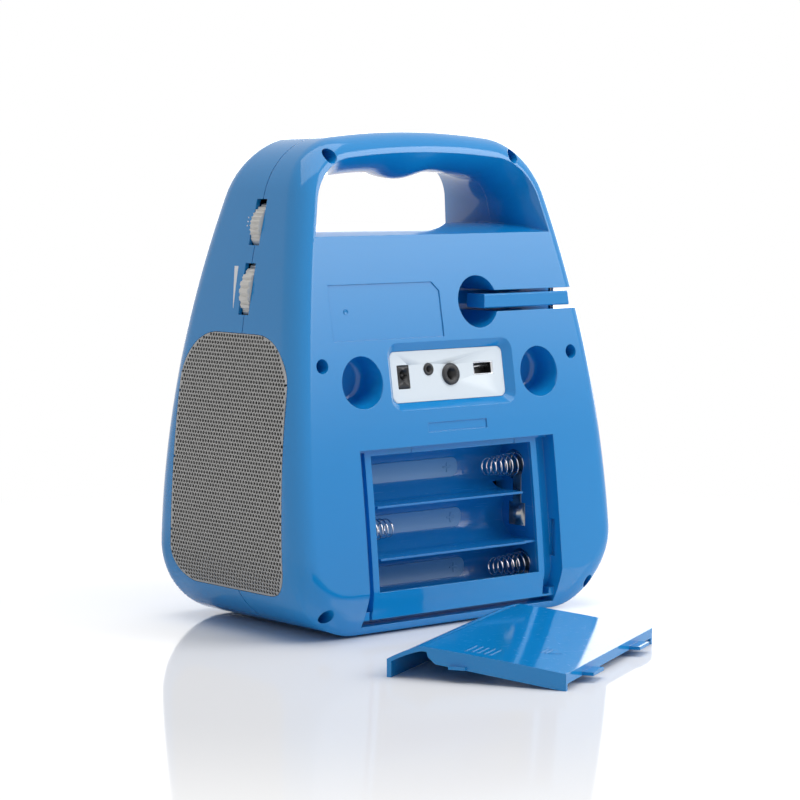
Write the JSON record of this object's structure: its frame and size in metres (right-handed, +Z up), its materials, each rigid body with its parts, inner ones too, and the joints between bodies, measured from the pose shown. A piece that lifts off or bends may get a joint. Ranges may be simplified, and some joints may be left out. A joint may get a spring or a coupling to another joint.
{
  "type": "karaoke machine with disc tray",
  "caption": "Portable karaoke player in a blue two-part cabinet with a hand hole, side speakers, a tilting disc door, a jack panel and an open battery bay beside its loose cover",
  "frame": {"origin": "centre of the base on the floor, on the parting plane of the two cabinet halves", "axes": "+Z up, +Y out of the back with the jacks and battery bay, +X towards the side with the function and volume wheels"},
  "size_m": [0.2451, 0.3123, 0.2739],
  "materials": {
    "black_plastic": "black",
    "blue_cover": "glossy azure blue moulding",
    "blue_shell": "glossy azure blue moulding",
    "blue_small_parts": "glossy azure blue moulding",
    "bright_steel": "bright",
    "circuit_board": "green solder mask",
    "clear_window": "clear plastic",
    "cone_paper": "pressed paper",
    "display_glass": "dark display glass",
    "foot_rubber": "soft rubber",
    "grey_plastic": "dark grey rim",
    "grille_metal": "silver grey paint, perforated",
    "ivory_plastic": "ivory moulding, satin",
    "lens_glass": "coated lens",
    "magnet_iron": "ferrite",
    "nickel_contact": "satin nickel plate",
    "plated_sheet": "galvanised",
    "screw_steel": "zinc plated",
    "silver_plastic": "silver, satin",
    "spring_steel": "bright nickel plate",
    "white_nylon": "nylon",
    "white_panel": "off white, fine texture"
  },
  "bodies": {
    "cabinet": {"front_shell": "blue_shell", "rear_shell": "blue_shell", "battery_box": "blue_shell", "upper_spring": "spring_steel", "middle_spring": "spring_steel", "lower_spring": "spring_steel", "upper_left_contact": "nickel_contact", "lower_left_contact": "nickel_contact", "upper_right_contact": "nickel_contact", "lower_right_contact": "nickel_contact", "jack_panel": "white_panel", "power_inlet": "black_plastic", "phone_jack": "black_plastic", "microphone_jack": "grey_plastic", "memory_port": "bright_steel", "jack_board": "circuit_board", "function_switch": "black_plastic", "volume_control": "black_plastic", "control_board": "circuit_board", "left_grille": "grille_metal", "right_grille": "grille_metal", "left_speaker_frame": "plated_sheet", "right_speaker_frame": "plated_sheet", "left_speaker_cone": "cone_paper", "right_speaker_cone": "cone_paper", "left_magnet": "magnet_iron", "right_magnet": "magnet_iron", "holder_pin": "bright_steel", "door_pin": "bright_steel", "disc_tray": "black_plastic", "loader_deck": "plated_sheet", "spindle_motor": "bright_steel", "guide_rods": "bright_steel", "sled_motor": "bright_steel", "display_window": "display_glass", "display_board": "circuit_board", "key_board": "circuit_board", "main_board": "circuit_board", "rubber_feet": "foot_rubber", "case_screws": "screw_steel", "board_screws": "screw_steel"},
    "battery_cover": {"battery_cover": "blue_cover"},
    "function_wheel": {"function_wheel": "ivory_plastic"},
    "volume_wheel": {"volume_wheel": "ivory_plastic"},
    "microphone_holder": {"microphone_holder": "blue_small_parts"},
    "disc_door": {"disc_door": "blue_small_parts", "door_window": "clear_window"},
    "turntable": {"turntable": "black_plastic"},
    "laser_sled": {"laser_sled": "black_plastic", "laser_lens": "lens_glass"},
    "sled_pinion": {"sled_pinion": "white_nylon"},
    "open_button": {"open_button": "silver_plastic"},
    "power_button": {"power_button": "silver_plastic"},
    "play_button": {"play_button": "silver_plastic"},
    "stop_button": {"stop_button": "silver_plastic"},
    "back_button": {"back_button": "silver_plastic"},
    "next_button": {"next_button": "silver_plastic"}
  },
  "joints": [
    {"name": "cover_lift", "type": "slide", "parent": "cabinet", "child": "battery_cover", "axis": [0, 0, 1], "range_m": [0, 0.12]},
    {"name": "function_turn", "type": "hinge", "parent": "cabinet", "child": "function_wheel", "pos_m": [0.08469, -0.001, 0.221], "axis": [0, 1, 0], "range_deg": [-15, 15]},
    {"name": "volume_turn", "type": "hinge", "parent": "cabinet", "child": "volume_wheel", "pos_m": [0.08698, -0.001, 0.18515], "axis": [0, 1, 0], "range_deg": [-140, 140]},
    {"name": "holder_fold", "type": "hinge", "parent": "cabinet", "child": "microphone_holder", "pos_m": [-0.088, 0.03608, 0.179], "axis": [0, 0, 1], "range_deg": [0, 180]},
    {"name": "door_tilt", "type": "hinge", "parent": "cabinet", "child": "disc_door", "pos_m": [0, -0.07065, 0.06274], "axis": [1, 0, 0], "range_deg": [0, 60]},
    {"name": "disc_spin", "type": "hinge", "parent": "cabinet", "child": "turntable", "pos_m": [0, -0.05403, 0.12103], "axis": [0, -0.9909, 0.135], "continuous": true},
    {"name": "sled_travel", "type": "slide", "parent": "cabinet", "child": "laser_sled", "axis": [0, -0.135, -0.9909], "range_m": [0, 0.034]},
    {"name": "pinion_turn", "type": "hinge", "parent": "cabinet", "child": "sled_pinion", "pos_m": [0.0334, -0.04559, 0.07335], "axis": [0, -0.9909, 0.135], "range_deg": [0, 306]},
    {"name": "open_press", "type": "slide", "parent": "cabinet", "child": "open_button", "axis": [0, 0.9781, -0.2083], "range_m": [0, 0.0016], "stiffness_N_per_m": 150, "springref_m": -0.0008},
    {"name": "power_press", "type": "slide", "parent": "cabinet", "child": "power_button", "axis": [0, 0.9781, -0.2083], "range_m": [0, 0.0016], "stiffness_N_per_m": 150, "springref_m": -0.0008},
    {"name": "play_press", "type": "slide", "parent": "cabinet", "child": "play_button", "axis": [0, 0.9988, -0.0489], "range_m": [0, 0.0016], "stiffness_N_per_m": 150, "springref_m": -0.0008},
    {"name": "stop_press", "type": "slide", "parent": "cabinet", "child": "stop_button", "axis": [0, 0.9988, -0.0489], "range_m": [0, 0.0016], "stiffness_N_per_m": 150, "springref_m": -0.0008},
    {"name": "back_press", "type": "slide", "parent": "cabinet", "child": "back_button", "axis": [0, 0.9988, -0.0489], "range_m": [0, 0.0016], "stiffness_N_per_m": 150, "springref_m": -0.0008},
    {"name": "next_press", "type": "slide", "parent": "cabinet", "child": "next_button", "axis": [0, 0.9988, -0.0489], "range_m": [0, 0.0016], "stiffness_N_per_m": 150, "springref_m": -0.0008}
  ],
  "couplings": [
    {"joint": "pinion_turn", "follows": "sled_travel", "rad_per_m": 156.25}
  ]
}
